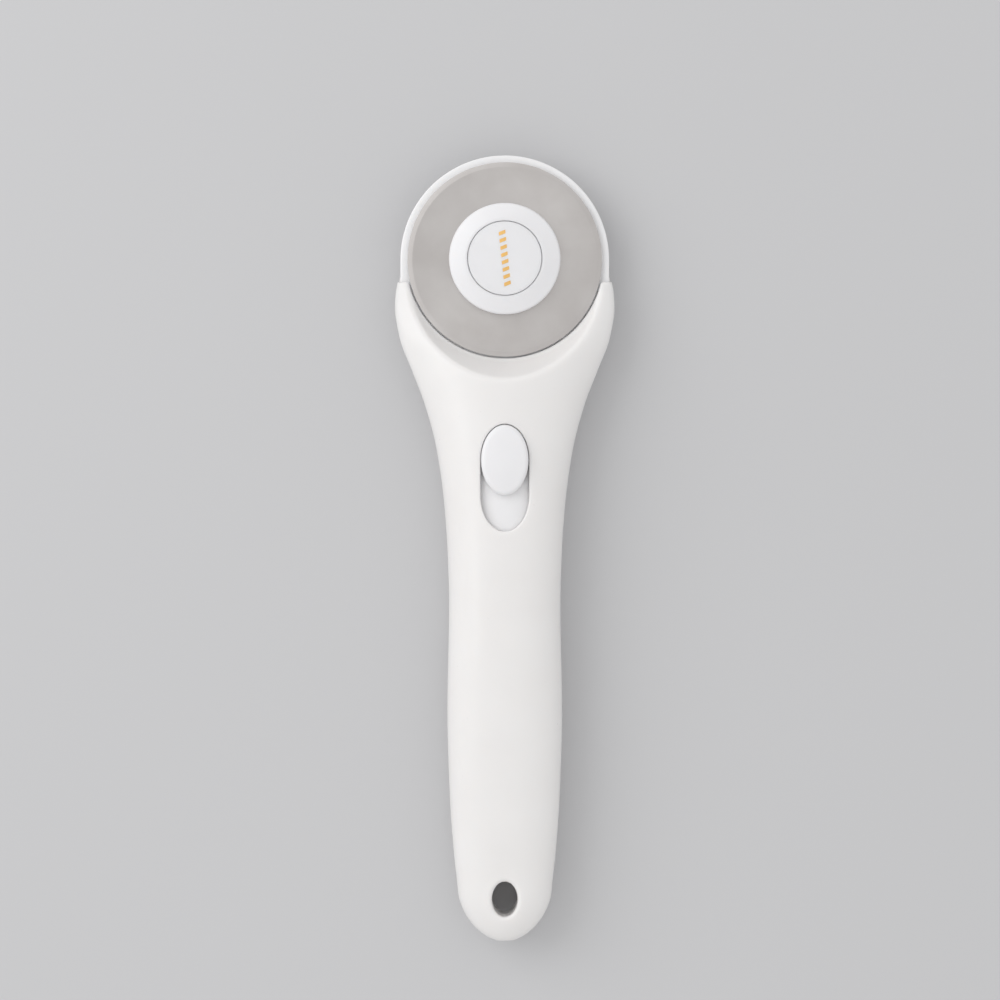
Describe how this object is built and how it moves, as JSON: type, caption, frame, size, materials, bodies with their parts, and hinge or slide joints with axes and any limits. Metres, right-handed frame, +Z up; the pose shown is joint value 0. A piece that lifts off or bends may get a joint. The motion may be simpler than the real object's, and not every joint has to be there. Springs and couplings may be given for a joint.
{
  "type": "rotary cutter",
  "caption": "Stick-handle rotary cutter with a round blade, a sliding guard worked by an oval thumb button, and a push-button blade release in its back.",
  "frame": {"origin": "middle of the bounding box, on the plane that the flat back lies on", "axes": "+Y along the handle towards the blade, +Z up out of the blade's face, +X to the right as seen from above"},
  "size_m": [0.0508, 0.182, 0.0195],
  "materials": {
    "pearl_shell": "warm white pearl with fine sparkle, satin gloss",
    "white_plastic": "cool white moulded plastic, satin gloss",
    "blade_steel": "fine circular grind, bevelled edge",
    "spring_steel": "plain spring steel",
    "machined_steel": "turned",
    "screw_steel": "bright zinc plate",
    "bush_brass": "turned"
  },
  "bodies": {
    "handle": {"front_shell": "pearl_shell", "rear_shell": "pearl_shell", "shell_screws": "screw_steel", "detent_spring": "spring_steel", "detent_screw": "screw_steel", "arbor": "machined_steel", "arbor_screws": "screw_steel", "thrust_washer": "bush_brass", "latch_balls": "machined_steel", "release_spring": "spring_steel"},
    "guard": {"blade_guard": "white_plastic", "slider_plate": "white_plastic", "slide_button": "white_plastic", "slider_screw": "screw_steel"},
    "blade_assembly": {"blade": "blade_steel", "hub_bush": "bush_brass", "hub_cap": "white_plastic", "hub_plug": "white_plastic"},
    "release": {"release_button": "white_plastic", "release_pin": "machined_steel"}
  },
  "joints": [
    {"name": "guard_slide", "type": "slide", "parent": "handle", "child": "guard", "axis": [0, -1, 0], "range_m": [0, 0.0082], "deforming": ["detent_spring"]},
    {"name": "blade_spin", "type": "hinge", "parent": "handle", "child": "blade_assembly", "pos_m": [0, 0.0668, 0.0102], "axis": [0, 0, 1], "continuous": true},
    {"name": "release_press", "type": "slide", "parent": "handle", "child": "release", "axis": [0, 0, 1], "range_m": [0, 0.002], "stiffness_N_per_m": 800, "deforming": ["release_spring"]}
  ]
}
